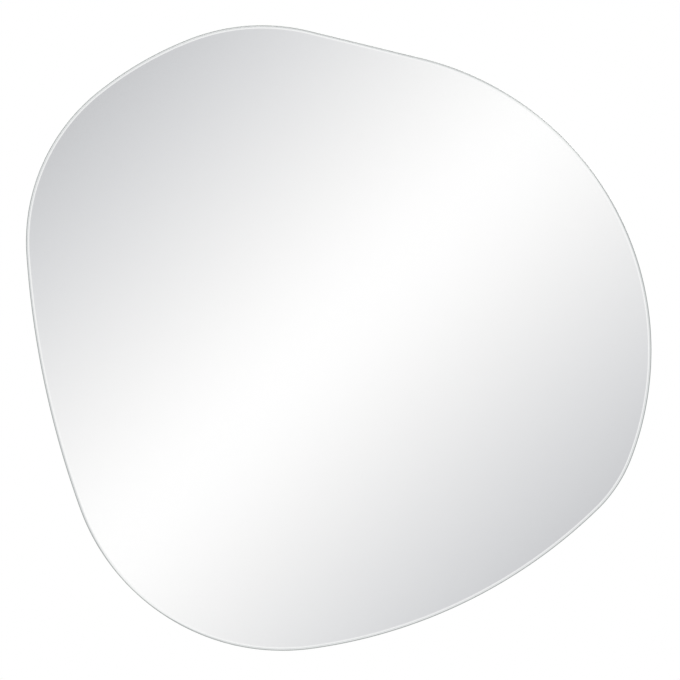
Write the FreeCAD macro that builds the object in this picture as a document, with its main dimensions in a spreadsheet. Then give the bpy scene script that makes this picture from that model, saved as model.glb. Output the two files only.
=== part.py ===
import FreeCAD, Part
import math
import os
import re

import Sketcher
from FreeCAD import Placement, Rotation, Vector

# Frameless wall mirror with a free pebble outline, in millimetres.
# X runs to the viewer's right, Z up, and the glass faces -Y. The origin lies on the wall (y = 0),
# behind the middle of the outline's box.
#
# The outline is one closed chain of tangent curves. Five lobes give it its shape: main (right),
# crown (top), shoulder (left), foot (below left) and heel (below right, inside the main lobe and
# tangent to it). A straight edge joins main to crown, and three wide blends join the others.
# The layers behind the glass follow the same outline, set in.

SIZES = [
    # outline of the glass: lobe centres and radii, then the radii of the blends
    ("main_x", 11.5, "centre of the right lobe"),
    ("main_z", -12.0, "centre of the right lobe"),
    ("main_radius", 288.5, "right lobe"),
    ("crown_x", -73.5, "centre of the top lobe"),
    ("crown_z", 108.5, "centre of the top lobe"),
    ("crown_radius", 191.5, "top lobe"),
    ("shoulder_x", -116.0, "centre of the left lobe"),
    ("shoulder_z", 92.5, "centre of the left lobe"),
    ("shoulder_radius", 184.0, "left lobe"),
    ("foot_x", -54.0, "centre of the lower left lobe"),
    ("foot_z", -93.5, "centre of the lower left lobe"),
    ("foot_radius", 206.5, "lower left lobe"),
    ("heel_z", -67.0, "centre height of the lower right lobe"),
    ("heel_radius", 136.0, "lower right lobe"),
    ("crown_blend", 333.5, "radius between the top and left lobes"),
    ("flank_blend", 896.0, "radius between the left and lower left lobes"),
    ("sole_blend", 488.0, "radius between the two lower lobes"),
    # glass and the layers on its back
    ("glass_thickness", 6.0, "float glass"),
    ("edge_radius", 2.9, "pencil edge, front and back"),
    ("silver_thickness", 0.1, "silver and its protective paint"),
    ("silver_margin", 0.2, "from the rounded edge to the silver"),
    ("film_thickness", 0.2, "safety film"),
    ("film_margin", 2.0, "from the edge of the silver to the film"),
    # backing board and what bonds it to the film
    ("board_thickness", 9.0, "fibreboard"),
    ("board_inset", 40.0, "from the edge of the glass to the board"),
    ("board_chamfer", 1.0, "rear edge of the board"),
    ("tape_thickness", 1.1, "foam tape"),
    ("tape_width", 25.0, "foam tape"),
    ("tape_side", 84.0, "from the side of the board to the middle of the outer strips"),
    ("tape_margin", 12.0, "from the edge of the board to a strip"),
    ("bead_width", 9.0, "pressed bead of adhesive"),
    ("bead_margin", 26.0, "from the edge of the board to a bead"),
    # bumpers on the board
    ("bumper_height", 6.0, "from the board to the wall"),
    ("bumper_radius", 8.0, "at the board"),
    ("bumper_taper", 1.0, "radius lost from board to wall"),
    ("bumper_bevel", 1.0, "bevel at the wall"),
    ("bumper_margin", 10.0, "from the edge of the board to a bumper"),
    # hangers: a strap folded double round the bar of a ring
    ("hanger_middle", -10.0, "x midway between the hangers, over the balance point"),
    ("hanger_spacing", 260.0, "between the hangers"),
    ("hanger_height", 160.0, "height of the ring's bar"),
    ("strap_sheet", 1.0, "steel sheet"),
    ("strap_width", 14.0, "steel strap"),
    ("strap_corner", 6.0, "rounded corner at the strap's end"),
    ("fold_gap", 0.1, "between the two leaves"),
    ("fold_bend", 1.0, "outside bend from the knuckle to the front leaf"),
    ("ring_wire", 3.0, "diameter of the ring's wire"),
    ("ring_play", 0.1, "radial, bar in the knuckle"),
    ("ring_width", 22.0, "inside the ring"),
    ("ring_drop", 20.0, "inside the ring, from the bar to the bow"),
    ("ring_corner", 3.5, "bend from the bar to a leg, on the wire's centre line"),
    ("ring_rest_gap", 0.3, "between the hanging bow and the strap"),
    # screws: two through each strap
    ("screw_first", 29.0, "from the ring's bar down to the first screw"),
    ("screw_pitch", 13.0, "from the first screw to the second"),
    ("screw_radius", 1.7, "shank"),
    ("screw_length", 10.0, "under the head"),
    ("screw_point", 2.5, "length of the point"),
    ("head_radius", 3.5, "pan head"),
    ("head_height", 2.2, "pan head"),
    ("head_side", 1.0, "straight side of the pan head"),
    ("recess_width", 0.9, "one arm of the cross recess"),
    ("recess_span", 3.6, "across the cross recess"),
    ("recess_depth", 1.2, "cross recess"),
    ("strap_hole_play", 0.3, "radial, strap round a screw"),
    ("pilot_play", 0.05, "board round a screw"),
]

TAPE_STRIPS = 5

# Worked out in the sheet. "back" is the y of a layer's wall side, and "out" counts from the board
# towards the wall.
WORKED_OUT = [
    ("silver_inset", "edge_radius + silver_margin", "from the edge of the glass"),
    ("film_inset", "silver_inset + film_margin", "from the edge of the glass"),
    ("board_back", "-bumper_height", "layer"),
    ("bonding_back", "board_back - board_thickness", "layer"),
    ("film_back", "bonding_back - tape_thickness", "layer"),
    ("silver_back", "film_back - film_thickness", "layer"),
    ("glass_back", "silver_back - silver_thickness", "layer"),
    ("board_left", "shoulder_x - shoulder_radius + board_inset", "side of the board"),
    ("board_right", "main_x + main_radius - board_inset", "side of the board"),
    ("tape_first", "board_left + tape_side", "middle of the first strip"),
    ("tape_pitch", "(board_right - tape_side - tape_first) / %d" % (TAPE_STRIPS - 1), "strip to strip"),
    ("tape_half", "tape_width / 2", "half width"),
    ("bead_half", "bead_width / 2", "half width"),
    ("knuckle_radius", "ring_wire / 2 + ring_play", "inside the knuckle"),
    ("bar_out", "strap_sheet + knuckle_radius", "centre of the ring's bar"),
    ("leaf_out", "strap_sheet + fold_gap", "inner face of the front leaf"),
    ("strap_out", "leaf_out + strap_sheet", "outer face of the front leaf"),
    ("bend_out", "strap_out + fold_bend", "centre of the bend below the knuckle"),
    ("bend_reach", "knuckle_radius + strap_sheet + fold_bend", "from the bar to that centre"),
    ("bend_drop", "sqrt(bend_reach ^ 2 - (bend_out - bar_out) ^ 2)", "from the bar to that centre"),
    ("strap_length", "screw_first + screw_pitch + strap_width / 2", "below the bar"),
    ("ring_half", "(ring_width + ring_wire) / 2", "half width on the wire's centre line"),
    ("ring_length", "ring_drop + ring_wire", "on the wire's centre line"),
    ("bow_out", "strap_out + ring_rest_gap + ring_wire / 2", "hanging bow's centre line"),
    ("ring_tilt", "asin((bow_out - bar_out) / ring_length)", "hanging ring from upright, degrees"),
    ("shank_radius", "screw_radius + strap_hole_play", "hole in the strap"),
    ("pilot_radius", "screw_radius + pilot_play", "hole in the board"),
    ("pilot_depth", "screw_length - strap_out + pilot_play", "hole in the board"),
    ("dome_rise", "head_height - head_side", "pan head"),
    ("dome_radius", "(head_radius ^ 2 + dome_rise ^ 2) / (2 * dome_rise)", "pan head"),
]

HANGER_SIDES = {"left": -1, "right": 1}
SCREW_ORDER = {"upper": 0, "lower": 1}

# Bumpers sit on lobes of the outline: name, lobe, direction from the lobe's centre in degrees
BUMPERS = [
    ("bumper_top_left", "crown", 118.0),
    ("bumper_top_right", "main", 45.0),
    ("bumper_bottom_left", "foot", 232.0),
    ("bumper_bottom_right", "heel", 308.0),
]

ALIASES = {alias for alias, entry, note in SIZES + WORKED_OUT}
SUBPARTS = []

doc = FreeCAD.newDocument("pebble_mirror")
sheet = doc.addObject("Spreadsheet::Sheet", "Sizes")
for row, (alias, entry, note) in enumerate(SIZES + WORKED_OUT, start=1):
    sheet.set("A%d" % row, note)
    sheet.set("B%d" % row, "=" + entry if isinstance(entry, str) else str(entry))
    sheet.setAlias("B%d" % row, alias)
doc.recompute()


def size(alias):
    """The value of a cell in the sheet."""
    return float(sheet.get(alias))


def in_sheet(word):
    return "Sizes." + word if word in ALIASES else word


def bind(item, name, text):
    """Ties one property of an object to the sheet; a cell's alias stands bare in the text."""
    item.setExpression(name, re.sub("[a-z][a-z_]+", lambda word: in_sheet(word.group()), text))


def new_subpart(kind, label):
    """A sub-part of the mirror: its label is its name in the assembly."""
    item = doc.addObject(kind, label)
    item.Label = label
    SUBPARTS.append(item)
    return item


def place(item, x="0", y="0", z="0", turn=0.0):
    """Puts a sub-part in the mirror's frame, turned about X by so many degrees."""
    item.Placement = Placement(Vector(), Rotation(Vector(1, 0, 0), turn))
    bind(item, "Placement.Base.x", x)
    bind(item, "Placement.Base.y", y)
    bind(item, "Placement.Base.z", z)


def origin_feature(body, role):
    return next(item for item in body.Origin.OriginFeatures if item.Role == role)


def new_sketch(body, name, role):
    """A sketch on one of the body's own origin planes."""
    sketch = body.newObject("Sketcher::SketchObject", body.Label + "_" + name)
    sketch.AttachmentSupport = [(origin_feature(body, role), "")]
    sketch.MapMode = "FlatFace"
    return sketch


def constrain(sketch, kind, *where):
    return sketch.addConstraint(Sketcher.Constraint(kind, *where))


def dimension(sketch, name, text, value, kind, *where):
    """A named driving constraint of a sketch, tied to the sheet; value is where it starts."""
    sketch.renameConstraint(constrain(sketch, kind, *where, value), name)
    bind(sketch, "Constraints." + name, text)


def add_feature(body, kind, name, sign, **settings):
    """Adds a feature and checks that it adds (+1) or removes (-1) material."""
    before = body.Shape.Volume if body.Tip else 0.0
    feature = body.newObject("PartDesign::" + kind, body.Label + "_" + name)
    texts = {prop: settings.pop(prop) for prop in ("Length", "Radius", "Size") if prop in settings}
    for prop, setting in settings.items():
        setattr(feature, prop, setting)
    for prop, text in texts.items():
        bind(feature, prop, text)
    doc.recompute()
    change = body.Shape.Volume - before
    if change * sign <= 0:
        raise RuntimeError("%s changed its body's volume by %.3f" % (feature.Label, change))
    return feature


# --- the outline -----------------------------------------------------------------------------

START, END, CENTRE = range(1, 4)
SKETCH_ORIGIN = (-1, 1)
LEVEL_AXIS, UPRIGHT_AXIS = range(-1, -3, -1)
SKETCH_NORMAL = Vector(0, 0, 1)


def lobe(name):
    return Vector(size(name + "_x"), size(name + "_z"), 0), size(name + "_radius")


def heel_lobe(main):
    """The heel lies inside the main lobe and touches it, so its height and radius place it."""
    centre, radius = main
    rise = size("heel_z") - centre.y
    reach = radius - size("heel_radius")
    return centre + Vector(math.sqrt(reach**2 - rise**2), rise, 0), size("heel_radius")


def blend_arc(first, second, radius):
    """The wide arc round two lobes, tangent to both, with the lobes inside it."""
    (centre_a, radius_a), (centre_b, radius_b) = first, second
    reach_a = radius - radius_a
    reach_b = radius - radius_b
    span = centre_b - centre_a
    along = (reach_a**2 - reach_b**2 + span.Length**2) / (2 * span.Length)
    aside = math.sqrt(reach_a**2 - along**2)
    run = Vector(span).normalize()
    return centre_a + run * along + Vector(-run.y, run.x, 0) * aside, radius


def touch(wide, narrow):
    """Direction of the point where a narrow arc touches a wide one from inside."""
    toward = narrow[0] - wide[0]
    return math.atan2(toward.y, toward.x)


def straight_normal(first, second):
    """Normal direction of the straight edge that leaves the first arc and meets the second."""
    span = second[0] - first[0]
    lean = math.acos((first[1] - second[1]) / span.Length)
    return math.atan2(span.y, span.x) - lean


def outline_arcs():
    """The arcs of the glass outline, counter-clockwise from the main lobe: circle, first and
    last direction. The straight top edge comes between the first two."""
    main, crown, shoulder, foot = (lobe(name) for name in ("main", "crown", "shoulder", "foot"))
    heel = heel_lobe(main)
    upper = blend_arc(crown, shoulder, size("crown_blend"))
    flank = blend_arc(shoulder, foot, size("flank_blend"))
    sole = blend_arc(foot, heel, size("sole_blend"))
    top = straight_normal(main, crown)
    return {
        "main": (main, touch(main, heel), top),
        "crown": (crown, top, touch(upper, crown)),
        "crown_blend": (upper, touch(upper, crown), touch(upper, shoulder)),
        "shoulder": (shoulder, touch(upper, shoulder), touch(flank, shoulder)),
        "flank_blend": (flank, touch(flank, shoulder), touch(flank, foot)),
        "foot": (foot, touch(flank, foot), touch(sole, foot)),
        "sole_blend": (sole, touch(sole, foot), touch(sole, heel)),
        "heel": (heel, touch(sole, heel), touch(main, heel)),
    }


def arc(centre, radius, first, last):
    """Part of a circle in a sketch, counter-clockwise between two directions."""
    end = last + 2 * math.pi * math.ceil((first - last) / (2 * math.pi))
    return Part.ArcOfCircle(Part.Circle(centre, SKETCH_NORMAL, radius), first, end)


def outline_curves(inset):
    """The outline as curves, set in: every centre stays, and every radius loses the inset."""
    curves = {}
    for name, ((centre, radius), first, last) in outline_arcs().items():
        curves[name] = arc(centre, radius - inset, first, last)
        if name == "main":
            curves["top_edge"] = None  # holds its place in the chain
    curves["top_edge"] = Part.LineSegment(curves["main"].EndPoint, curves["crown"].StartPoint)
    return curves


def draw_outline(sketch, inset):
    """Draws the outline, set in by a cell of the sheet (or not at all), with its constraints."""
    by = size(inset) if inset else 0.0
    less = " - " + inset if inset else ""
    curves = outline_curves(by)
    at = {name: sketch.addGeometry(curve) for name, curve in curves.items()}
    names = list(curves)
    for name, following in zip(names, names[1:] + names[:1]):
        constrain(sketch, "Tangent", at[name], END, at[following], START)
    for name in ("main", "crown", "shoulder", "foot", "heel"):
        from_origin = (*SKETCH_ORIGIN, at[name], CENTRE)
        if name != "heel":
            dimension(sketch, name + "_x", name + "_x", size(name + "_x"), "DistanceX", *from_origin)
        dimension(sketch, name + "_z", name + "_z", size(name + "_z"), "DistanceY", *from_origin)
        radius = name + "_radius"
        dimension(sketch, radius, radius + less, size(radius) - by, "Radius", at[name])
    for name in ("crown_blend", "flank_blend", "sole_blend"):
        dimension(sketch, name, name + less, size(name) - by, "Radius", at[name])


def outline_layer(label, inset, thickness, back):
    """A flat layer with the mirror's outline, from its back face forwards (-Y)."""
    body = new_subpart("PartDesign::Body", label)
    sketch = new_sketch(body, "outline", "XZ_Plane")
    draw_outline(sketch, inset)
    add_feature(body, "Pad", "pad", +1, Profile=sketch, Length=thickness)
    place(body, y=back)
    return body


# --- the flat layers and the board -----------------------------------------------------------

WALL_SIDE, VIEWER_SIDE = Vector(0, 1, 0), Vector(0, -1, 0)


def flat_faces(feature, toward):
    """Names of a feature's flat faces whose outward normal points the given way."""
    names = []
    for number, face in enumerate(feature.Shape.Faces, start=1):
        if isinstance(face.Surface, Part.Plane) and face.normalAt(0, 0).dot(toward) > 0.999:
            names.append("Face%d" % number)
    return names


def make_glass():
    """Float glass with a round polished (pencil) edge."""
    glass = outline_layer("mirror_glass", None, "glass_thickness", "glass_back")
    sides = flat_faces(glass.Tip, WALL_SIDE) + flat_faces(glass.Tip, VIEWER_SIDE)
    radius = "min(edge_radius; 0.49 * glass_thickness)"
    add_feature(glass, "Fillet", "pencil_edge", -1, Base=(glass.Tip, sides), Radius=radius)


def hanger_x(side):
    """x of the middle of a hanger, as text for the sheet."""
    return "hanger_middle + %d * hanger_spacing / 2" % HANGER_SIDES[side]


def screw_spot(side, order):
    """Where a screw stands on the board: its x and z, as text for the sheet."""
    return hanger_x(side), "hanger_height - screw_first - %d * screw_pitch" % SCREW_ORDER[order]


def add_holes(body, name, spots, radius, **pocket):
    """Round holes along Y, at places that are given as text for the sheet."""
    sketch = new_sketch(body, name, "XZ_Plane")
    for number, (x, z) in enumerate(spots):
        hole = sketch.addGeometry(Part.Circle(Vector(number, number, 0), SKETCH_NORMAL, size(radius)))
        from_origin = (*SKETCH_ORIGIN, hole, CENTRE)
        dimension(sketch, "x%d" % number, x, number, "DistanceX", *from_origin)
        dimension(sketch, "z%d" % number, z, number, "DistanceY", *from_origin)
        dimension(sketch, "r%d" % number, radius, size(radius), "Radius", hole)
    doc.recompute()
    add_feature(body, "Pocket", name + "_pocket", -1, Profile=sketch, **pocket)


def make_board():
    """Fibreboard panel with a chamfered rear edge and a blind pilot hole for each screw."""
    board = outline_layer("backing_board", "board_inset", "board_thickness", "board_back")
    rear = flat_faces(board.Tip, WALL_SIDE)
    add_feature(board, "Chamfer", "rear_chamfer", -1, Base=(board.Tip, rear), Size="board_chamfer")
    spots = [screw_spot(side, order) for side in HANGER_SIDES for order in SCREW_ORDER]
    add_holes(board, "pilots", spots, "pilot_radius", Reversed=True, Length="pilot_depth")


def board_span(x, half_width, margin):
    """Lowest and highest z of an upright strip at x that keeps clear of the board's edge."""
    curves = outline_curves(size("board_inset") + margin)
    clear = Part.Face(Part.Wire([curve.toShape() for curve in curves.values()]))
    reach = 2 * size("main_radius")
    low, high = -reach, reach
    for side in (x - half_width, x + half_width):
        cut = clear.common(Part.makeLine(Vector(side, -reach, 0), Vector(side, reach, 0)))
        low = max(low, cut.BoundBox.YMin)
        high = min(high, cut.BoundBox.YMax)
    return low, high


def make_tapes():
    """Upright strips of foam tape between the board and the film."""
    for strip in range(TAPE_STRIPS):
        middle = size("tape_first") + strip * size("tape_pitch")
        low, high = board_span(middle, size("tape_half"), size("tape_margin"))
        tape = new_subpart("Part::Box", "foam_tape_%d" % (strip + 1))
        tape.Height = high - low
        bind(tape, "Length", "tape_width")
        bind(tape, "Width", "tape_thickness")
        place(tape, "tape_first + %d * tape_pitch - tape_half" % strip, "film_back", "%.6f" % low)


def draw_slot(sketch, length):
    """An upright slot of adhesive: its lower centre is the sketch's origin."""
    half = size("bead_half")
    top = sketch.addGeometry(arc(Vector(0, length, 0), half, 0, math.pi))
    left = sketch.addGeometry(Part.LineSegment(Vector(-half, length, 0), Vector(-half, 0, 0)))
    foot = sketch.addGeometry(arc(Vector(), half, math.pi, 2 * math.pi))
    right = sketch.addGeometry(Part.LineSegment(Vector(half, 0, 0), Vector(half, length, 0)))
    for before, after in ((top, left), (left, foot), (foot, right), (right, top)):
        constrain(sketch, "Tangent", before, END, after, START)
    constrain(sketch, "Coincident", foot, CENTRE, *SKETCH_ORIGIN)
    constrain(sketch, "PointOnObject", top, CENTRE, UPRIGHT_AXIS)
    constrain(sketch, "Equal", top, foot)
    constrain(sketch, "DistanceY", foot, CENTRE, top, CENTRE, length)
    dimension(sketch, "half_width", "bead_half", half, "Radius", top)


def make_beads():
    """Upright beads of adhesive, pressed flat midway between the strips of tape."""
    for bead in range(TAPE_STRIPS - 1):
        pitches = bead + 0.5
        middle = size("tape_first") + pitches * size("tape_pitch")
        low, high = board_span(middle, size("bead_half"), size("bead_margin"))
        body = new_subpart("PartDesign::Body", "adhesive_bead_%d" % (bead + 1))
        sketch = new_sketch(body, "slot", "XZ_Plane")
        draw_slot(sketch, high - low - size("bead_width"))
        add_feature(body, "Pad", "pad", +1, Profile=sketch, Length="tape_thickness")
        place(body, "tape_first + %g * tape_pitch" % pitches, "bonding_back", "%.6f + bead_half" % low)


def make_bumpers():
    """Soft round bumpers on the board, a little narrower at the wall."""
    arcs = outline_arcs()
    for label, name, heading in BUMPERS:
        (centre, radius), first, last = arcs[name]
        reach = radius - size("board_inset") - size("bumper_margin") - size("bumper_radius")
        along = Vector(math.cos(math.radians(heading)), math.sin(math.radians(heading)), 0)
        spot = centre + along * reach
        cone = doc.addObject("Part::Cone", label + "_cone")
        bind(cone, "Radius1", "bumper_radius")
        bind(cone, "Radius2", "bumper_radius - bumper_taper")
        bind(cone, "Height", "bumper_height")
        doc.recompute()
        bevel = size("bumper_bevel")
        wall_rim = [
            (number, bevel, bevel)
            for number, edge in enumerate(cone.Shape.Edges, start=1)
            if edge.BoundBox.ZMin > size("bumper_height") / 2
        ]
        bumper = new_subpart("Part::Chamfer", label)
        bumper.Base = cone
        bumper.Edges = wall_rim
        place(bumper, "%.6f" % spot.x, "board_back", "%.6f" % spot.y, turn=-90.0)


# --- hangers ---------------------------------------------------------------------------------


def draw_fold(sketch):
    """The strap from the side: back leaf, knuckle round the bar, bend, front leaf. The sketch's
    x counts from the board, and its y from the height of the bar."""
    sheet_metal, length = size("strap_sheet"), size("strap_length")
    knuckle, bend = size("knuckle_radius"), size("fold_bend")
    leaf, face, drop = size("leaf_out"), size("strap_out"), size("bend_drop")
    bar = Vector(size("bar_out"), 0, 0)
    pivot = Vector(size("bend_out"), -drop, 0)
    meeting = touch((bar, knuckle), (pivot, bend))
    outline = [
        Part.LineSegment(Vector(0, -length, 0), Vector(0, 0, 0)),
        arc(bar, knuckle + sheet_metal, meeting, math.pi),
        arc(pivot, bend, meeting + math.pi, math.pi),
        Part.LineSegment(Vector(face, -drop, 0), Vector(face, -length, 0)),
        Part.LineSegment(Vector(face, -length, 0), Vector(leaf, -length, 0)),
        Part.LineSegment(Vector(leaf, -length, 0), Vector(leaf, -drop, 0)),
        arc(pivot, bend + sheet_metal, meeting + math.pi, math.pi),
        arc(bar, knuckle, meeting, math.pi),
        Part.LineSegment(Vector(sheet_metal, 0, 0), Vector(sheet_metal, -length, 0)),
        Part.LineSegment(Vector(sheet_metal, -length, 0), Vector(0, -length, 0)),
    ]
    at = [sketch.addGeometry(curve) for curve in outline]
    back, outer, outer_bend, front, front_end, inner, inner_bend, eye, inside, back_end = at
    joints = [
        ("Tangent", back, END, outer, END),
        ("Tangent", outer, START, outer_bend, START),
        ("Tangent", outer_bend, END, front, START),
        ("Coincident", front, END, front_end, START),
        ("Coincident", front_end, END, inner, START),
        ("Tangent", inner, END, inner_bend, END),
        ("Tangent", inner_bend, START, eye, START),
        ("Tangent", eye, END, inside, START),
        ("Coincident", inside, END, back_end, START),
        ("Coincident", back_end, END, back, START),
        ("Coincident", outer, CENTRE, eye, CENTRE),
        ("Coincident", outer_bend, CENTRE, inner_bend, CENTRE),
        ("PointOnObject", eye, CENTRE, LEVEL_AXIS),
        ("PointOnObject", back, START, UPRIGHT_AXIS),
    ]
    for joint in joints:
        constrain(sketch, *joint)
    for upright in (back, front, inner, inside):
        constrain(sketch, "Vertical", upright)
    for level in (front_end, back_end):
        constrain(sketch, "Horizontal", level)
    dimension(sketch, "eye", "knuckle_radius", knuckle, "Radius", eye)
    dimension(sketch, "outer", "knuckle_radius + strap_sheet", knuckle + sheet_metal, "Radius", outer)
    dimension(sketch, "bend", "fold_bend", bend, "Radius", outer_bend)
    dimension(sketch, "face", "strap_out", face, "DistanceX", *SKETCH_ORIGIN, front, START)
    for name, line in (("back_length", back_end), ("front_length", front_end)):
        dimension(sketch, name, "strap_length", length, "DistanceY", line, END, *SKETCH_ORIGIN)


def make_strap(side):
    """A steel strap folded double round the ring's bar, with two screw holes and a round end."""
    strap = new_subpart("PartDesign::Body", "hanger_strap_" + side)
    sketch = new_sketch(strap, "fold", "YZ_Plane")
    draw_fold(sketch)
    add_feature(strap, "Pad", "pad", +1, Profile=sketch, SideType="Symmetric", Length="strap_width")
    nearly = size("fold_gap") / 10
    foot = nearly - size("strap_length")
    corners = [
        "Edge%d" % number
        for number, edge in enumerate(strap.Shape.Edges, start=1)
        if edge.BoundBox.ZMax < foot and edge.BoundBox.XLength < nearly
    ]
    corner = "min(strap_corner; 0.48 * strap_width)"
    add_feature(strap, "Fillet", "round_end", -1, Base=(strap.Tip, corners), Radius=corner)
    spots = [("0", "-screw_first - %d * screw_pitch" % order) for order in SCREW_ORDER.values()]
    add_holes(strap, "holes", spots, "shank_radius", Type="ThroughAll", SideType="Symmetric")
    place(strap, hanger_x(side), "board_back", "hanger_height")


def draw_ring_path(sketch):
    """The wire's centre line, from the middle of the bar: half bar, corner, leg, bow and back."""
    half, corner = size("ring_half"), size("ring_corner")
    bar_end = half - corner
    bow_drop = size("ring_length") - half
    outline = [
        Part.LineSegment(Vector(0, 0, 0), Vector(bar_end, 0, 0)),
        arc(Vector(bar_end, -corner, 0), corner, 0, math.pi / 2),
        Part.LineSegment(Vector(half, -corner, 0), Vector(half, -bow_drop, 0)),
        arc(Vector(0, -bow_drop, 0), half, math.pi, 2 * math.pi),
        Part.LineSegment(Vector(-half, -bow_drop, 0), Vector(-half, -corner, 0)),
        arc(Vector(-bar_end, -corner, 0), corner, math.pi / 2, math.pi),
        Part.LineSegment(Vector(-bar_end, 0, 0), Vector(0, 0, 0)),
    ]
    at = [sketch.addGeometry(curve) for curve in outline]
    bar_right, corner_right, leg_right, bow, leg_left, corner_left, bar_left = at
    joints = [
        ("Coincident", bar_right, START, *SKETCH_ORIGIN),
        ("Tangent", bar_right, END, corner_right, END),
        ("Tangent", corner_right, START, leg_right, START),
        ("Tangent", leg_right, END, bow, END),
        ("Tangent", bow, START, leg_left, START),
        ("Tangent", leg_left, END, corner_left, END),
        ("Tangent", corner_left, START, bar_left, START),
        ("Coincident", bar_left, END, bar_right, START),
        ("Horizontal", bar_right),
        ("Horizontal", bar_left),
        ("Vertical", leg_right),
        ("Vertical", leg_left),
        ("PointOnObject", bow, CENTRE, UPRIGHT_AXIS),
    ]
    for joint in joints:
        constrain(sketch, *joint)
    dimension(sketch, "bow", "ring_half", half, "Radius", bow)
    to_origin = (bow, CENTRE, *SKETCH_ORIGIN)
    dimension(sketch, "bow_drop", "ring_length - ring_half", bow_drop, "DistanceY", *to_origin)
    dimension(sketch, "corner_right", "ring_corner", corner, "Radius", corner_right)
    dimension(sketch, "corner_left", "ring_corner", corner, "Radius", corner_left)


def make_ring(side):
    """A closed D of round wire that swings on its bar; it hangs with its bow against the strap."""
    ring = new_subpart("PartDesign::Body", "hanger_ring_" + side)
    path = new_sketch(ring, "path", "XZ_Plane")
    draw_ring_path(path)
    section = new_sketch(ring, "section", "YZ_Plane")
    wire = section.addGeometry(Part.Circle(Vector(), SKETCH_NORMAL, size("ring_wire") / 2))
    constrain(section, "Coincident", wire, CENTRE, *SKETCH_ORIGIN)
    dimension(section, "wire", "ring_wire / 2", size("ring_wire") / 2, "Radius", wire)
    doc.recompute()
    add_feature(ring, "AdditivePipe", "wire", +1, Profile=section, Spine=path)
    place(ring, hanger_x(side), "board_back + bar_out", "hanger_height", turn=size("ring_tilt"))


# --- screws ----------------------------------------------------------------------------------


def draw_screw(sketch):
    """Half of the screw's lengthwise section: x runs from under the head to its top."""
    shank, length, point = size("screw_radius"), size("screw_length"), size("screw_point")
    head, side = size("head_radius"), size("head_side")
    top, dome = size("head_height"), size("dome_radius")
    dome_centre = Vector(top - dome, 0, 0)
    rim = math.atan2(head, side - dome_centre.x)
    corners = [
        Vector(-length, 0, 0),
        Vector(point - length, shank, 0),
        Vector(0, shank, 0),
        Vector(0, head, 0),
        Vector(side, head, 0),
    ]
    lines = [
        sketch.addGeometry(Part.LineSegment(before, after))
        for before, after in zip(corners, corners[1:])
    ]
    cone, barrel, seat, rim_side = lines
    crown = sketch.addGeometry(arc(dome_centre, dome, 0, rim))
    axis = sketch.addGeometry(Part.LineSegment(Vector(top, 0, 0), corners[0]))
    for before, after in zip(lines, lines[1:]):
        constrain(sketch, "Coincident", before, END, after, START)
    constrain(sketch, "Coincident", rim_side, END, crown, END)
    constrain(sketch, "Coincident", crown, START, axis, START)
    constrain(sketch, "Coincident", axis, END, cone, START)
    for end in (START, END):
        constrain(sketch, "PointOnObject", axis, end, LEVEL_AXIS)
    constrain(sketch, "PointOnObject", crown, CENTRE, LEVEL_AXIS)
    constrain(sketch, "PointOnObject", seat, START, UPRIGHT_AXIS)
    constrain(sketch, "Horizontal", barrel)
    constrain(sketch, "Horizontal", rim_side)
    constrain(sketch, "Vertical", seat)
    dimension(sketch, "length", "screw_length", length, "DistanceX", cone, START, *SKETCH_ORIGIN)
    dimension(sketch, "point", "screw_point", point, "DistanceX", cone, START, cone, END)
    dimension(sketch, "shank", "screw_radius", shank, "DistanceY", *SKETCH_ORIGIN, seat, START)
    dimension(sketch, "head", "head_radius", head, "DistanceY", *SKETCH_ORIGIN, seat, END)
    dimension(sketch, "side", "head_side", side, "DistanceX", *SKETCH_ORIGIN, rim_side, END)
    dimension(sketch, "top", "head_height", top, "DistanceX", *SKETCH_ORIGIN, axis, START)


def draw_recess_arm(sketch):
    """One arm of the cross recess, centred on the screw's axis."""
    half_span, half_width = size("recess_span") / 2, size("recess_width") / 2
    corners = [
        Vector(-half_span, -half_width, 0),
        Vector(half_span, -half_width, 0),
        Vector(half_span, half_width, 0),
        Vector(-half_span, half_width, 0),
    ]
    lines = [
        sketch.addGeometry(Part.LineSegment(before, after))
        for before, after in zip(corners, corners[1:] + corners[:1])
    ]
    bottom, right, top, left = lines
    for before, after in zip(lines, lines[1:] + lines[:1]):
        constrain(sketch, "Coincident", before, END, after, START)
    for level in (bottom, top):
        constrain(sketch, "Horizontal", level)
    for upright in (left, right):
        constrain(sketch, "Vertical", upright)
    constrain(sketch, "Symmetric", bottom, START, top, START, *SKETCH_ORIGIN)
    dimension(sketch, "span", "recess_span", 2 * half_span, "DistanceX", bottom, START, bottom, END)
    dimension(sketch, "width", "recess_width", 2 * half_width, "DistanceY", right, START, right, END)


def make_screw(side, order):
    """Pan-head wood screw with a cross recess, its head on the strap."""
    screw = new_subpart("PartDesign::Body", "hanger_screw_%s_%s" % (side, order))
    section = new_sketch(screw, "section", "YZ_Plane")
    draw_screw(section)
    axis = (section, ["H_Axis"])
    add_feature(screw, "Revolution", "turned", +1, Profile=section, ReferenceAxis=axis, Angle=360.0)
    recess = new_sketch(screw, "recess", "XZ_Plane")
    draw_recess_arm(recess)
    bind(recess, "AttachmentOffset.Base.z", "recess_depth - head_height")
    doc.recompute()
    arm = add_feature(screw, "Pocket", "recess_arm", -1, Profile=recess, Type="ThroughAll")
    cross = screw.newObject("PartDesign::PolarPattern", screw.Label + "_cross")
    cross.Originals = [arm]
    cross.Axis = (origin_feature(screw, "Y_Axis"), [""])
    cross.Angle = 90.0
    cross.Occurrences = 2
    screw.Tip = cross
    x, z = screw_spot(side, order)
    place(screw, x, "board_back + strap_out", z)


# --- the whole mirror ------------------------------------------------------------------------

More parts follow.
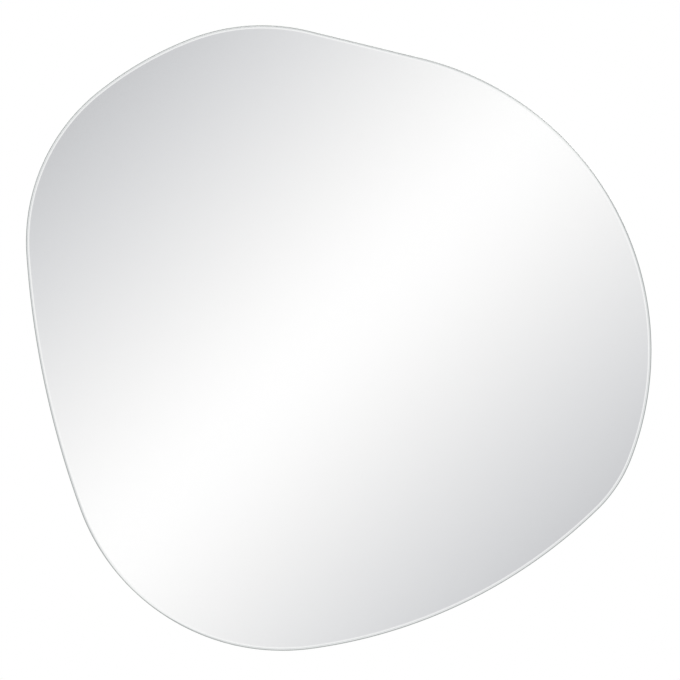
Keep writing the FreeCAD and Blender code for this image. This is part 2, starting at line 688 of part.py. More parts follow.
make_glass()
outline_layer("mirror_silvering", "silver_inset", "silver_thickness", "silver_back")
outline_layer("safety_film", "film_inset", "film_thickness", "film_back")
make_board()
make_tapes()
make_beads()
make_bumpers()
for hanger_side in HANGER_SIDES:
    make_strap(hanger_side)
    make_ring(hanger_side)
    for screw_order in SCREW_ORDER:
        make_screw(hanger_side, screw_order)
doc.recompute()

for item in doc.Objects:
    if {"Invalid", "Error"} & set(item.State):
        raise RuntimeError("%s is %s" % (item.Label, item.State))
for item in SUBPARTS:
    if item.Shape.isNull() or not item.Shape.isValid() or len(item.Shape.Solids) != 1:
        raise RuntimeError("%s has no valid solid" % item.Label)

os.makedirs("parts", exist_ok=True)
for item in SUBPARTS:
    item.Shape.exportStep("parts/%s.step" % item.Label)
    print("%-24s %12.1f mm3" % (item.Label, item.Shape.Volume))
print("ring tilt %.4f degrees, bar at y %.3f" % (size("ring_tilt"), size("board_back") + size("bar_out")))
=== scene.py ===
import math

import bmesh
import bpy
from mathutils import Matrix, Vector


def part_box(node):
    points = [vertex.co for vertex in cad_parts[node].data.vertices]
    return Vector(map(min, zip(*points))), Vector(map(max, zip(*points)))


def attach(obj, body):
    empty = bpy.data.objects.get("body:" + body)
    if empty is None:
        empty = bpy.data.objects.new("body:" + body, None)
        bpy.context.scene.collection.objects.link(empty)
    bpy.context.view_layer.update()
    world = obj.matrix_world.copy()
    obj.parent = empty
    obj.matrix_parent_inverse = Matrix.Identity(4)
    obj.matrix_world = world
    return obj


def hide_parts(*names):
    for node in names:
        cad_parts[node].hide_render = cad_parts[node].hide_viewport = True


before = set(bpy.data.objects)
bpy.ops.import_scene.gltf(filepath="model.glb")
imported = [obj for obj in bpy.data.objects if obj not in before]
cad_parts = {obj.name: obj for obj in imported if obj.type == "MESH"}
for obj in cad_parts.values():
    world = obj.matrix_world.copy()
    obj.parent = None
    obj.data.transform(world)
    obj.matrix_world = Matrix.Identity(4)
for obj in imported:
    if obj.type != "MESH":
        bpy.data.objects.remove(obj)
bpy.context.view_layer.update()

# --- studio ----------------------------------------------------------------------------------
# The mirror hangs free in a white studio, and a long lens looks at it straight on. What it shows
# is the wall behind the camera: a white strip of light that leans to the right and fades to a
# cool grey. A pale floor lies well below, and two broad lamps light each side of the mirror.

CAMERA_DISTANCE = 3.0
PICTURE_WIDTH = 0.65155
PICTURE_CENTRE = (0.00124, -0.0019)
SENSOR_WIDTH = 36.0

STRIP_LIGHT = 1.047
STRIP_FADE = 4.94
STRIP_SOFTNESS = 0.0192
STRIP_OFFSET = 0.0041
STRIP_LEAN = math.sqrt(0.5)
WALL_LIGHT = 0.56
WALL_RISE = 0.2
WALL_GLOW = 0.3
GLOW_RISE = (0.04, 0.6)
WALL_BLEND = 0.06
REAR_LIGHT = 1.0
REAR_FADE = 0.25
REAR_DIP = 0.2
DIP_START = (0.06, 0.14)
DIP_END = (0.18, 0.4)
REAR_TURN = (0.0, 0.6)
WHITENING = (0.6, 1.0)
COOL_GREY = (0.988, 1.0, 1.026, 1.0)
WHITE = (1.0, 1.0, 1.0, 1.0)

FLOOR_LEVEL = -1.4
FLOOR_RADIUS = 8.0
FLOOR_SIDES = 96
FLOOR_FADE = (2.4, 6.0)
FLOOR_COLOUR = (0.86, 0.86, 0.855, 1.0)
FLOOR_SPECKLE = (0.9, 0.9, 0.895, 1.0)
FLOOR_GRAIN = 35.0
FLOOR_ROUGHNESS = 0.7

# place, power and whether it shows in shiny surfaces
LAMPS = {
    "front_lamp": ((-1.7, -2.3, 2.0), 34.0, False),
    "front_fill": ((2.2, -2.2, 1.6), 12.0, False),
    "rear_lamp": ((1.7, 2.3, 2.0), 34.0, True),
    "rear_fill": ((-2.2, 2.2, 1.6), 12.0, True),
}
LAMP_WIDTH = 2.0


class Value:
    """A value that changes over a surface or with direction. Sums on it add Math nodes."""

    def __init__(self, nodes, socket):
        self.nodes = nodes
        self.socket = socket

    def maths(self, operation, *terms):
        sockets = dict(enumerate((self, *terms)))
        return self.nodes.node("ShaderNodeMath", {"operation": operation}, sockets)

    def __add__(self, other):
        return self.maths("ADD", other)

    def __radd__(self, other):
        return self.maths("ADD", other)

    def __sub__(self, other):
        return self.maths("SUBTRACT", other)

    def __rsub__(self, other):
        return self.maths("MULTIPLY", -1.0) + other

    def __mul__(self, other):
        return self.maths("MULTIPLY", other)

    def __rmul__(self, other):
        return self.maths("MULTIPLY", other)

    def __pow__(self, other):
        return self.maths("POWER", other)

    def over(self, low, high):
        """0 below low, 1 above high, with a smooth rise between them."""
        settings = {"interpolation_type": "SMOOTHSTEP"}
        sockets = {"Value": self, "From Min": low, "From Max": high}
        return self.nodes.node("ShaderNodeMapRange", settings, sockets)


class Nodes:
    """The nodes of one material, or of the world."""

    def __init__(self, owner):
        owner.use_nodes = True
        self.tree = owner.node_tree
        self.tree.nodes.clear()

    def node(self, kind, settings, sockets, output=0):
        made = self.tree.nodes.new(kind)
        for name, setting in settings.items():
            setattr(made, name, setting)
        for key, value in sockets.items():
            if isinstance(value, Value):
                self.tree.links.new(value.socket, made.inputs[key])
            else:
                made.inputs[key].default_value = value
        return Value(self, made.outputs[output]) if made.outputs else None

    def split(self, vector):
        """The X, Y and Z of a vector."""
        parts = self.tree.nodes.new("ShaderNodeSeparateXYZ")
        self.tree.links.new(vector.socket, parts.inputs[0])
        return [Value(self, part) for part in parts.outputs]

    def colour(self, share, first, second):
        """A colour between two: the first at a share of 0, the second at 1."""
        return self.node("ShaderNodeMix", {"data_type": "RGBA"}, {0: share, 6: first, 7: second}, 2)

    def mixed(self, share, first, second):
        """A shader between two: the first at a share of 0, the second at 1."""
        return self.node("ShaderNodeMixShader", {}, {0: share, 1: first, 2: second})


world = bpy.data.worlds.new("white_studio")
bpy.context.scene.world = world
room = Nodes(world)
across, along, up = room.split(room.node("ShaderNodeTexCoord", {}, {}, "Generated"))
lean = (up - across) * STRIP_LEAN - STRIP_OFFSET
fade = (lean * lean + STRIP_SOFTNESS**2) ** 0.5 - STRIP_SOFTNESS
strip = STRIP_LIGHT - fade * STRIP_FADE
glow = (across * across + up * up).over(*GLOW_RISE) * WALL_GLOW
front = strip.maths("SMOOTH_MAX", WALL_LIGHT + up * WALL_RISE + glow, WALL_BLEND)
slant = (up - across).maths("ABSOLUTE")
dip = slant.over(*DIP_START) * (1.0 - slant.over(*DIP_END))
rear = REAR_LIGHT - slant * REAR_FADE - dip * REAR_DIP
reflected = front + (rear - front) * along.over(*REAR_TURN)
seen = room.node("ShaderNodeLightPath", {}, {}, "Is Camera Ray")
light = reflected + (1.0 - reflected) * seen
tint = room.colour(light.over(*WHITENING), COOL_GREY, WHITE)
background = room.node("ShaderNodeBackground", {}, {"Color": tint, "Strength": light})
room.node("ShaderNodeOutputWorld", {}, {"Surface": background})

glass_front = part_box("mirror_glass")[0].y
lens = bpy.data.cameras.new("long_lens")
lens.sensor_width = SENSOR_WIDTH
lens.lens = SENSOR_WIDTH * CAMERA_DISTANCE / PICTURE_WIDTH
camera = bpy.data.objects.new("camera", lens)
camera.location = (PICTURE_CENTRE[0], glass_front - CAMERA_DISTANCE, PICTURE_CENTRE[1])
camera.rotation_euler = (math.radians(90.0), 0.0, 0.0)
bpy.context.collection.objects.link(camera)
bpy.context.scene.camera = camera
bpy.context.scene.view_settings.view_transform = "Standard"

for name, (place, watts, glints) in LAMPS.items():
    lamp = bpy.data.lights.new(name, "AREA")
    lamp.size = LAMP_WIDTH
    lamp.energy = watts
    stand = bpy.data.objects.new(name, lamp)
    stand.location = place
    stand.rotation_euler = (-Vector(place)).to_track_quat("-Z", "Y").to_euler()
    stand.visible_glossy = glints
    stand.visible_transmission = False
    bpy.context.collection.objects.link(stand)

floor_material = bpy.data.materials.new("pale_floor")
shade = Nodes(floor_material)
spot = shade.node("ShaderNodeTexCoord", {}, {}, "Object")
speckle = shade.node(
    "ShaderNodeTexNoise", {}, {"Vector": spot, "Scale": FLOOR_GRAIN, "Detail": 4.0},
)
boards = shade.node("ShaderNodeBsdfPrincipled", {}, {
    "Base Color": shade.colour(speckle, FLOOR_COLOUR, FLOOR_SPECKLE),
    "Roughness": FLOOR_ROUGHNESS,
})
reach = shade.node("ShaderNodeVectorMath", {"operation": "LENGTH"}, {0: spot}, "Value")
seen = shade.node("ShaderNodeLightPath", {}, {}, "Is Camera Ray")
haze = shade.node("ShaderNodeEmission", {}, {"Color": WHITE, "Strength": 1.0})
gone = shade.node("ShaderNodeBsdfTransparent", {}, {})
ground = shade.mixed(reach.over(*FLOOR_FADE), boards, shade.mixed(seen, gone, haze))
shade.node("ShaderNodeOutputMaterial", {}, {"Surface": ground})

disc = bmesh.new()
bmesh.ops.create_circle(disc, cap_ends=True, segments=FLOOR_SIDES, radius=FLOOR_RADIUS)
bmesh.ops.translate(disc, verts=disc.verts, vec=(0.0, 0.0, FLOOR_LEVEL))
floor_mesh = bpy.data.meshes.new("floor")
disc.to_mesh(floor_mesh)
disc.free()
floor_mesh.materials.append(floor_material)
floor = bpy.data.objects.new("floor", floor_mesh)
bpy.context.collection.objects.link(floor)

# --- glass -----------------------------------------------------------------------------------
# Six millimetre float glass, cut to the pebble outline. Its edge is ground round, which leaves
# fine lines along it; the start of the round is polished clear and the belt outside it stays
# frosted. The front of that belt is painted dark, a painted shade that draws the dark line round
# the edge. Its back carries the silver that makes it a mirror.

MM = 0.001
GLASS_CLEAR = (0.996, 0.997, 0.997, 1.0)
POLISHED_EDGE = (0.86, 0.875, 0.87, 1.0)
# painted shade: the dark colour at the front of the frosted belt
EDGE_PAINTED_SHADE = (0.16, 0.172, 0.167, 1.0)
FROSTED_EDGE = (0.64, 0.69, 0.665, 1.0)
SILVER = (0.958, 0.957, 0.956, 1.0)
GLASS_INDEX = 1.52
EDGE_START = (0.02 * MM, 0.1 * MM)
COAT_START = (0.010 * MM, 0.006 * MM)
BELT_START = (0.5 * MM, 0.75 * MM)
BELT_ROUGHNESS = 0.06
GROUND_SHARE = 0.75
GROUND_ROUGHNESS = 0.3
PAINTED_SHADE_END = (1.4 * MM, 2.2 * MM)
FROST_SHARE = 0.8
LINE_PITCH = 0.25 * MM
LINE_RUN = 80.0
LINE_DEPTH = 0.004 * MM


class Finish(Nodes):
    """A finish of one of the mirror's pieces, laid out in the mirror's own coordinates."""

    def __init__(self, name):
        self.material = bpy.data.materials.new(name)
        super().__init__(self.material)
        self.place = self.node("ShaderNodeTexCoord", {}, {}, "Object")
        self.x, self.y, self.z = self.split(self.place)

    def noise(self, pitch, detail=2.0, stretch=(1.0, 1.0, 1.0)):
        """Cloudy noise of about 0 to 1: its pitch in metres, drawn out along any axis."""
        scale = [1.0 / (pitch * part) for part in stretch]
        sockets = {0: self.place, 1: scale}
        spot = self.node("ShaderNodeVectorMath", {"operation": "MULTIPLY"}, sockets)
        return self.node("ShaderNodeTexNoise", {}, {"Vector": spot, "Scale": 1.0, "Detail": detail})

    def behind(self, plane, depths):
        """0 nearer to a plane than the first depth behind it, 1 beyond the second."""
        return self.y.over(*(plane + depth for depth in depths))

    def before(self, plane, depths):
        """0 further than the first depth in front of a plane, 1 nearer than the second."""
        return self.y.over(*(plane - depth for depth in depths))

    def bump(self, height, depth):
        """The normal of a surface whose height goes from 0 to 1 over a depth in metres."""
        return self.node("ShaderNodeBump", {}, {"Height": height, "Distance": depth}, "Normal")

    def ribs(self, run, pitch):
        """Even ribs of 0 to 1 along a run, with the given pitch in metres."""
        return 0.5 - 0.5 * (run * (2.0 * math.pi / pitch)).maths("COSINE")

    def ends_in(self, **sockets):
        """Closes the finish with its shader."""
        sockets = {key.replace("_", " "): value for key, value in sockets.items()}
        shader = self.node("ShaderNodeBsdfPrincipled", {}, sockets)
        self.node("ShaderNodeOutputMaterial", {}, {"Surface": shader})

    def on(self, *names, **sockets):
        """Closes the finish and puts it on the named pieces."""
        self.ends_in(**sockets)
        for name in names:
            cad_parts[name].material_slots[0].material = self.material


def new_piece(name, shape, finish):
    """A piece made here, from its bmesh."""
    mesh = bpy.data.meshes.new(name)
    shape.to_mesh(mesh)
    shape.free()
    mesh.materials.append(finish.material)
    piece = bpy.data.objects.new(name, mesh)
    bpy.context.collection.objects.link(piece)
    return piece


def drop(line):
    """How far an edge of a mesh runs from front to back."""
    return abs((line.verts[0].co - line.verts[1].co).y)


OUTLINE_STEP = 3.0 * MM
WELD = 0.01 * MM
ROUND_STEPS = 12
EDGE_RADIUS = 2.9 * MM
# the outline in millimetres: each lobe's centre and radius, and the arcs that blend them
MAIN = ((11.5, -12.0), 288.5)
CROWN = ((-73.5, 108.5), 191.5)
SHOULDER = ((-116.0, 92.5), 184.0)
FOOT = ((-54.0, -93.5), 206.5)
HEEL_HEIGHT = -67.0
HEEL_RADIUS = 136.0
CROWN_BLEND = 333.5
FLANK_BLEND = 896.0
SOLE_BLEND = 488.0


def blend_arc(first, second, radius):
    """The wide arc round two lobes, tangent to both, with the lobes inside it."""
    (centre, near), (other, far) = first, second
    span = Vector(other) - Vector(centre)
    gain = (radius - near) ** 2 - (radius - far) ** 2
    ahead = (gain + span.length_squared) / (2.0 * span.length)
    aside = math.sqrt((radius - near) ** 2 - ahead**2)
    run = span.normalized()
    return tuple(Vector(centre) + run * ahead + Vector((-run.y, run.x)) * aside), radius


def touch(wide, narrow):
    """Direction of the point where a narrow arc touches a wide one from inside."""
    toward = Vector(narrow[0]) - Vector(wide[0])
    return math.atan2(toward.y, toward.x)


def pebble():
    """The outline's arcs, counter-clockwise: centre, radius, first and last direction."""
    rise = HEEL_HEIGHT - MAIN[0][1]
    reach = MAIN[1] - HEEL_RADIUS
    heel = (MAIN[0][0] + math.sqrt(reach**2 - rise**2), HEEL_HEIGHT), HEEL_RADIUS
    upper = blend_arc(CROWN, SHOULDER, CROWN_BLEND)
    flank = blend_arc(SHOULDER, FOOT, FLANK_BLEND)
    sole = blend_arc(FOOT, heel, SOLE_BLEND)
    span = Vector(CROWN[0]) - Vector(MAIN[0])
    top = math.atan2(span.y, span.x) - math.acos((MAIN[1] - CROWN[1]) / span.length)
    return (
        (MAIN, touch(MAIN, heel), top),
        (CROWN, top, touch(upper, CROWN)),
        (upper, touch(upper, CROWN), touch(upper, SHOULDER)),
        (SHOULDER, touch(upper, SHOULDER), touch(flank, SHOULDER)),
        (flank, touch(flank, SHOULDER), touch(flank, FOOT)),
        (FOOT, touch(flank, FOOT), touch(sole, FOOT)),
        (sole, touch(sole, FOOT), touch(sole, heel)),
        (heel, touch(sole, heel), touch(MAIN, heel)),
    )


glass_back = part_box("mirror_glass")[1].y
glass = Finish("clear_float_glass")
rounded = glass.behind(glass_front, EDGE_START)
coated = glass.before(glass_back, COAT_START)
belt = glass.behind(glass_front, BELT_START) * (1.0 - glass.before(glass_back, BELT_START[::-1]))
frosted = glass.behind(glass_front, PAINTED_SHADE_END)
lines = glass.noise(LINE_PITCH, 1.0, (LINE_RUN, 1.0, LINE_RUN))
shade_to_frost = frosted * FROST_SHARE + lines * (1.0 - FROST_SHARE)
tinted = glass.colour(rounded, GLASS_CLEAR, POLISHED_EDGE)
ridges = glass.bump(lines * rounded * (1.0 - coated), LINE_DEPTH)
polished = glass.node("ShaderNodeBsdfPrincipled", {}, {
    "Base Color": glass.colour(coated, tinted, SILVER),
    "Metallic": coated,
    "Roughness": belt * BELT_ROUGHNESS * (0.4 + lines),
    "IOR": GLASS_INDEX,
    "Transmission Weight": 1.0,
    "Normal": ridges,
})
ground = glass.node("ShaderNodeBsdfPrincipled", {}, {
    # painted shade at the front of the belt, fading to the pale frost behind it
    "Base Color": glass.colour(shade_to_frost, EDGE_PAINTED_SHADE, FROSTED_EDGE),
    "Roughness": GROUND_ROUGHNESS + 0.2 * lines,
    "IOR": GLASS_INDEX,
    "Normal": ridges,
})
surface = glass.mixed(belt * GROUND_SHARE, polished, ground)
glass.node("ShaderNodeOutputMaterial", {}, {"Surface": surface})

pane = bmesh.new()
for (centre, radius), first, last in pebble():
    turn = (last - first) % (2.0 * math.pi)
    away = Vector((math.cos(first), 0.0, math.sin(first)))
    middle = Vector((centre[0], 0.0, centre[1])) * MM
    corner = pane.verts.new(middle + away * radius * MM + Vector((0.0, glass_back, 0.0)))
    steps = max(2, round(turn * radius * MM / OUTLINE_STEP))
    bmesh.ops.spin(
        pane, geom=[corner], cent=middle, axis=(0.0, -1.0, 0.0), angle=turn, steps=steps,
    )
bmesh.ops.remove_doubles(pane, verts=pane.verts, dist=WELD)
loose = [vert for vert in pane.verts if len(vert.link_edges) == 1]
pane.edges.new(loose)
bmesh.ops.contextual_create(pane, geom=pane.edges[:])
made = bmesh.ops.extrude_face_region(pane, geom=pane.faces[:])
front_rim = [part for part in made["geom"] if isinstance(part, bmesh.types.BMVert)]
bmesh.ops.translate(pane, verts=front_rim, vec=(0.0, glass_front - glass_back, 0.0))
bmesh.ops.recalc_face_normals(pane, faces=pane.faces)
rims = [line for line in pane.edges if drop(line) < EDGE_RADIUS]
bmesh.ops.bevel(
    pane, geom=rims, offset=EDGE_RADIUS, offset_type="OFFSET", segments=ROUND_STEPS,
    profile=0.5, affect="EDGES", material=-1, clamp_overlap=False,
)
for face in pane.faces:
    face.smooth = True
mirror_pane = new_piece("mirror_pane", pane, glass)
true_normals = mirror_pane.modifiers.new("true_normals", "WEIGHTED_NORMAL")
true_normals.weight = 100
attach(mirror_pane, "mirror")
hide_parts("mirror_glass")

# --- silvering -------------------------------------------------------------------------------
# The silver and copper on the back of the glass, under two coats of grey protective paint. It
# stops a hair short of the round edge, so only a thin line of the paint shows past the film.

PAINT = (0.27, 0.285, 0.28, 1.0)
PAINT_LIGHT = (0.34, 0.355, 0.35, 1.0)
PAINT_START = (0.03 * MM, 0.05 * MM)
MOTTLE_PITCH = 1.2 * MM
MOTTLE_DEPTH = 0.01 * MM
SILVER_GAP = 0.02 * MM
SILVER_WELD = 0.001 * MM

silver_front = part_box("mirror_silvering")[0].y
silvering = Finish("silver_and_paint")
painted = silvering.behind(silver_front, PAINT_START)
mottle = silvering.noise(MOTTLE_PITCH, 3.0)
coat = silvering.colour(mottle.over(0.35, 0.65), PAINT, PAINT_LIGHT)
silvering.ends_in(
    Base_Color=silvering.colour(painted, SILVER, coat),
    Metallic=1.0 - painted,
    Roughness=painted * (0.45 + 0.15 * mottle),
    Normal=silvering.bump(mottle * painted, MOTTLE_DEPTH),
)

sheet = bmesh.new()
sheet.from_mesh(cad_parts["mirror_silvering"].data)
bmesh.ops.remove_doubles(sheet, verts=sheet.verts, dist=SILVER_WELD)
touching = [vert for vert in sheet.verts if vert.co.y < silver_front + 0.5 * SILVER_GAP]
bmesh.ops.translate(sheet, verts=touching, vec=(0.0, SILVER_GAP, 0.0))
silver_coat = new_piece("silver_coat", sheet, silvering)
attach(silver_coat, "mirror")
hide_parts("mirror_silvering")

# --- safety film -----------------------------------------------------------------------------
# A silver-grey film of woven plastic tape, rolled over the painted back with its own adhesive,
# so that the glass holds together if it breaks. The weave stands out as fine crossing ribs, and
# its colour is painted lighter on the raised ribs and crease ridges as a painted sheen.

FILM_GREY = (0.40, 0.41, 0.42, 1.0)
FILM_SHEEN = (0.66, 0.67, 0.68, 1.0)
WEAVE_PITCH = 2.4 * MM
WEAVE_DEPTH = 0.08 * MM
WEAVE_SWAP = 0.15
CREASE_PITCH = 38.0 * MM
CREASE_HEIGHT = 3.0

film = Finish("woven_safety_film")
warp = film.ribs(film.x, WEAVE_PITCH)
weft = film.ribs(film.z, WEAVE_PITCH)
half_turns = math.pi / WEAVE_PITCH
swap = (film.x * half_turns).maths("SINE") * (film.z * half_turns).maths("SINE")
warp_on_top = swap.over(-WEAVE_SWAP, WEAVE_SWAP)
weave = warp * warp_on_top + weft * (1.0 - warp_on_top)
crease = film.noise(CREASE_PITCH, 2.0, (1.0, 1.0, 2.5))
# painted sheen: the colour is lighter on the raised weave and the crease ridges
painted_sheen = (0.25 + 0.5 * weave) * (0.6 + 0.6 * crease)
film.on(
    "safety_film",
    Base_Color=film.colour(painted_sheen, FILM_GREY, FILM_SHEEN),
    Roughness=0.34 + 0.2 * weave,
    Normal=film.bump(weave + crease * CREASE_HEIGHT, WEAVE_DEPTH),
)

# --- backing board ---------------------------------------------------------------------------
# A panel of nine millimetre fibreboard, smaller than the glass so that it hides behind it. Its
# faces are pressed hard and sanded; the sawn edge and the chamfer show the softer, paler core.

BOARD_SKIN = (0.27, 0.17, 0.095, 1.0)
BOARD_SKIN_PALE = (0.42, 0.29, 0.18, 1.0)
BOARD_CORE = (0.47, 0.34, 0.22, 1.0)
BOARD_FLECK = (0.17, 0.105, 0.06, 1.0)
FIBRE_PITCH = 0.5 * MM
FIBRE_DEPTH = 0.12 * MM
CLOUD_PITCH = 60.0 * MM
FLECK_PITCH = 1.1 * MM
SAWN_START = (0.12 * MM, 0.02 * MM)
CORE_START = (0.0, 2.2 * MM)

board_front, board_back = (corner.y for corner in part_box("backing_board"))
board = Finish("sanded_fibreboard")
sawn = 1.0 - board.before(board_back, SAWN_START)
level_fibres = board.noise(FIBRE_PITCH, 4.0, (3.0, 1.0, 1.0))
upright_fibres = board.noise(FIBRE_PITCH, 4.0, (1.0, 1.0, 3.0))
fibres = level_fibres * 0.5 + upright_fibres * 0.5
cloud = board.noise(CLOUD_PITCH, 3.0)
fleck = board.noise(FLECK_PITCH, 1.0, (1.0, 1.0, 1.6)).over(0.66, 0.72)
skin = board.colour(fibres.over(0.35, 0.65) * 0.6 + cloud * 0.4, BOARD_SKIN, BOARD_SKIN_PALE)
to_front = board.behind(board_front, CORE_START)
to_back = 1.0 - board.before(board_back, CORE_START[::-1])
softness = to_front * to_back * (0.7 + 0.3 * fibres)
core = board.colour(softness, BOARD_SKIN_PALE, BOARD_CORE)
cut = board.colour(sawn, skin, core)
board.on(
    "backing_board",
    Base_Color=board.colour(fleck * 0.55, cut, BOARD_FLECK),
    Roughness=0.62 + 0.25 * sawn + 0.08 * fibres,
    Normal=board.bump(fibres * (0.35 + sawn), FIBRE_DEPTH),
)

# --- foam tapes ------------------------------------------------------------------------------
# Upright strips of double-sided foam tape between the film and the board. They carry the glass
# while the adhesive cures. Squeezed foam bulges a little at its cut sides and shows its cells.

FOAM_GREY = (0.55, 0.55, 0.54, 1.0)
FOAM_PALE = (0.72, 0.72, 0.70, 1.0)
FOAM_CELL = 0.22 * MM
CELL_DEPTH = 0.06 * MM
FOAM_ROUND = 0.3 * MM
FOAM_ROUND_STEPS = 3
TAPES = ("foam_tape_1", "foam_tape_2", "foam_tape_3", "foam_tape_4", "foam_tape_5")

foam = Finish("closed_cell_foam")
cells = foam.node("ShaderNodeTexVoronoi", {}, {"Vector": foam.place, "Scale": 1.0 / FOAM_CELL})
pores = cells.over(0.1, 0.6)
foam.ends_in(
    Base_Color=foam.colour(pores, FOAM_PALE, FOAM_GREY),
    Roughness=0.8 + 0.1 * pores,
    Normal=foam.bump(1.0 - pores, CELL_DEPTH),
)
for node in TAPES:
    low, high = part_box(node)
    strip = bmesh.new()
    bmesh.ops.create_cube(strip, size=1.0)
    bmesh.ops.scale(strip, verts=strip.verts, vec=high - low)
    bmesh.ops.translate(strip, verts=strip.verts, vec=(low + high) / 2.0)
    sides = [line for line in strip.edges if drop(line) < FOAM_ROUND]
    bmesh.ops.bevel(
        strip, geom=sides, offset=FOAM_ROUND, offset_type="OFFSET", segments=FOAM_ROUND_STEPS,
        profile=0.5, affect="EDGES", material=-1,
    )
    tape = new_piece(node.replace("foam_tape", "squeezed_tape"), strip, foam)
    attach(tape, "mirror")
    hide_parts(node)

# --- adhesive beads --------------------------------------------------------------------------
# Neutral-cure mirror adhesive, gunned on as upright beads between the tapes and pressed flat by
# the board, so their edges wander. It cures to a smooth pale grey rubber.

GUM_GREY = (0.42, 0.43, 0.43, 1.0)
GUM_PALE = (0.52, 0.53, 0.53, 1.0)
SWIRL_PITCH = 4.0 * MM
SWIRL_DEPTH = 0.1 * MM
BEAD_STEPS = 64
BEAD_WANDER = 0.7 * MM
BEAD_WAVES = (9.0, 23.0)
BEAD_TIP = 0.2 * MM
BEADS = ("adhesive_bead_1", "adhesive_bead_2", "adhesive_bead_3", "adhesive_bead_4")

gum = Finish("cured_adhesive")
swirl = gum.noise(SWIRL_PITCH, 3.0, (1.0, 1.0, 2.0))
gum.ends_in(
    Base_Color=gum.colour(swirl.over(0.3, 0.7), GUM_GREY, GUM_PALE),
    Roughness=0.25 + 0.2 * swirl,
    Normal=gum.bump(swirl, SWIRL_DEPTH),
)
for count, node in enumerate(BEADS):
    low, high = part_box(node)
    middle = (low + high) / 2.0
    half_width = (high.x - low.x) / 2.0
    half_length = (high.z - low.z) / 2.0
    bead = bmesh.new()
    bmesh.ops.create_grid(bead, x_segments=2, y_segments=BEAD_STEPS, size=1.0)
    for vert in bead.verts:
        side, run = vert.co.xy
        into_end = abs(run) * half_length - half_length + half_width
        narrowing = math.sqrt(max(0.0, 1.0 - (max(0.0, into_end) / half_width) ** 2))
        slow, quick = (waves * run for waves in BEAD_WAVES)
        wander = BEAD_WANDER * (1.0 + math.sin(slow + count) * math.sin(quick + side))
        wide = max(narrowing * half_width - wander, BEAD_TIP)
        vert.co = (side * wide, low.y - middle.y, run * half_length)
    bmesh.ops.translate(bead, verts=bead.verts, vec=middle)
    made = bmesh.ops.extrude_face_region(bead, geom=bead.faces[:])
    top = [part for part in made["geom"] if isinstance(part, bmesh.types.BMVert)]
    bmesh.ops.translate(bead, verts=top, vec=(0.0, high.y - low.y, 0.0))
    bmesh.ops.recalc_face_normals(bead, faces=bead.faces)
    pressed = new_piece(node.replace("adhesive_bead", "pressed_bead"), bead, gum)
    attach(pressed, "mirror")
    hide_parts(node)

# --- wall bumpers ----------------------------------------------------------------------------
# Four moulded rubber bumpers stuck to the board. They stand the mirror off the wall by as much
# as the hangers need, and keep it from tilting. The mould leaves a fine grain.

RUBBER = (0.022, 0.022, 0.023, 1.0)
RUBBER_DUSTY = (0.06, 0.058, 0.055, 1.0)
GRAIN_PITCH = 0.18 * MM
GRAIN_DEPTH = 0.03 * MM
DUST_PITCH = 3.0 * MM

rubber = Finish("moulded_rubber")
grain = rubber.noise(GRAIN_PITCH, 3.0)
dust = rubber.noise(DUST_PITCH, 4.0).over(0.45, 0.75)
rubber.on(
    "bumper_top_left",
    "bumper_top_right",
    "bumper_bottom_left",
    "bumper_bottom_right",
    Base_Color=rubber.colour(dust * 0.6, RUBBER, RUBBER_DUSTY),
    Roughness=0.5 + 0.2 * grain + 0.15 * dust,
    Normal=rubber.bump(grain, GRAIN_DEPTH),
)

# --- hanger straps ---------------------------------------------------------------------------
# Each hanger is a strip of millimetre steel, folded round the ring's bar and screwed down. It is
# blanked and folded first and zinc plated after, so the rolled grain runs along it under a
# cloudy, slightly blue coat, and the sheared edges are rougher than the faces.

ZINC = (0.44, 0.45, 0.46, 1.0)
ZINC_BLUE = (0.56, 0.575, 0.605, 1.0)
ZINC_DULL = (0.30, 0.305, 0.31, 1.0)
ROLLED_PITCH = 0.12 * MM
ROLLED_RUN = 60.0
ROLLED_DEPTH = 0.008 * MM
ZINC_CLOUD_PITCH = 5.0 * MM
SPANGLE_PITCH = 0.7 * MM
SHEAR_BAND = 0.25 * MM

for node in ("hanger_strap_left", "hanger_strap_right"):
    low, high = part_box(node)
    middle = (low.x + high.x) / 2.0
    half_width = (high.x - low.x) / 2.0
    zinc = Finish(node.replace("hanger", "zinc"))
    aside = (zinc.x - middle).maths("ABSOLUTE")
    sheared = aside.over(half_width - SHEAR_BAND, half_width)
    rolled = zinc.noise(ROLLED_PITCH, 2.0, (1.0, 1.0, ROLLED_RUN))
    cloud = zinc.noise(ZINC_CLOUD_PITCH, 3.0)
    spangle = zinc.noise(SPANGLE_PITCH, 2.0)
    bright = zinc.colour(cloud.over(0.35, 0.7), ZINC, ZINC_BLUE)
    dull = spangle.over(0.5, 0.8) * 0.5 + sheared * 0.4
    relief = rolled * (1.0 - sheared) + spangle * (0.4 + sheared)
    zinc.on(
        node,
        Base_Color=zinc.colour(dull, bright, ZINC_DULL),
        Metallic=1.0,
        Roughness=0.26 + 0.12 * rolled + 0.1 * cloud + 0.15 * sheared,
        Normal=zinc.bump(relief, ROLLED_DEPTH),
    )

# --- hanger rings ----------------------------------------------------------------------------
# Each ring is one bend of three millimetre steel wire, butt welded and nickel plated, free to
# swing in its strap. The plating is a little uneven, and hooks rub the bow dull.

NICKEL = (0.56, 0.54, 0.50, 1.0)
NICKEL_PALE = (0.66, 0.64, 0.60, 1.0)
NICKEL_WORN = (0.38, 0.37, 0.355, 1.0)
WORN_FULL = 1.5 * MM
WORN_NONE = 6.0 * MM
RUB_PITCH = 0.35 * MM
RUB_DEPTH = 0.006 * MM
PLATING_PITCH = 3.0 * MM

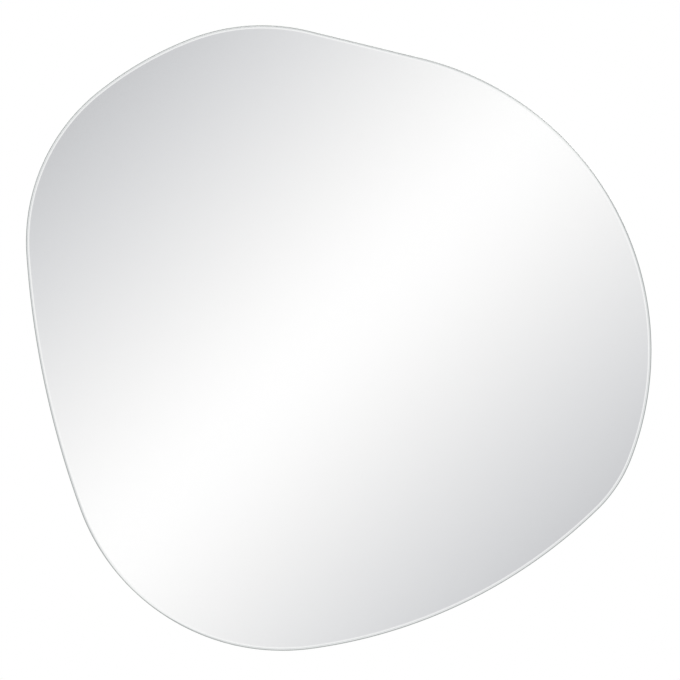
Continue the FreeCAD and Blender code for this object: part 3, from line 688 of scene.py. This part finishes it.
for side in ("left", "right"):
    node = "hanger_ring_" + side
    low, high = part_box(node)
    nickel = Finish("nickel_" + side)
    rub = nickel.noise(RUB_PITCH, 3.0)
    uneven = nickel.noise(PLATING_PITCH, 3.0)
    bow = 1.0 - nickel.z.over(low.z + WORN_FULL, low.z + WORN_NONE)
    worn = bow * rub.over(0.3, 0.6)
    plate = nickel.colour(uneven, NICKEL, NICKEL_PALE)
    nickel.on(
        node,
        Base_Color=nickel.colour(worn, plate, NICKEL_WORN),
        Metallic=1.0,
        Roughness=0.14 + 0.08 * uneven + 0.2 * worn,
        Normal=nickel.bump(rub, RUB_DEPTH),
    )

# --- hanger screws ---------------------------------------------------------------------------
# Pan-head screws of zinc plated steel with a cross recess. Upsetting the head leaves faint
# rings on it and the driver scuffs the recess. The bottom of the recess is painted dark, a
# painted shade.

SCREW_ZINC = (0.60, 0.61, 0.63, 1.0)
SCREW_SCUFF = (0.74, 0.74, 0.74, 1.0)
RECESS_PAINTED_SHADE = (0.10, 0.095, 0.09, 1.0)
HEAD_RING_PITCH = 0.22 * MM
SCUFF_PITCH = 0.4 * MM
SCUFF_DEPTH = 0.01 * MM
RECESS_TOP = 0.45 * MM
RECESS_FLOOR = 1.1 * MM
RECESS_REACH = 2.0 * MM
RECESS_FADE = 0.2 * MM

for side in ("left", "right"):
    for order in ("upper", "lower"):
        node = "_".join(("hanger_screw", side, order))
        low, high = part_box(node)
        plated = Finish("_".join(("screw", side, order)))
        aside = plated.x - (low.x + high.x) / 2.0
        above = plated.z - (low.z + high.z) / 2.0
        out = (aside * aside + above * above) ** 0.5
        rings = plated.ribs(out, HEAD_RING_PITCH)
        scuff = plated.noise(SCUFF_PITCH, 3.0)
        sunk = 1.0 - plated.before(high.y, (RECESS_FLOOR, RECESS_TOP))
        recess = sunk * (1.0 - out.over(RECESS_REACH - RECESS_FADE, RECESS_REACH))
        shine = plated.colour(scuff.over(0.45, 0.75), SCREW_ZINC, SCREW_SCUFF)
        plated.on(
            node,
            # painted shade: the bottom of the cross recess is painted dark
            Base_Color=plated.colour(recess, shine, RECESS_PAINTED_SHADE),
            Metallic=1.0 - 0.4 * recess,
            Roughness=0.22 + 0.12 * scuff + 0.3 * recess,
            Normal=plated.bump(rings * 0.5 + scuff, SCUFF_DEPTH),
        )
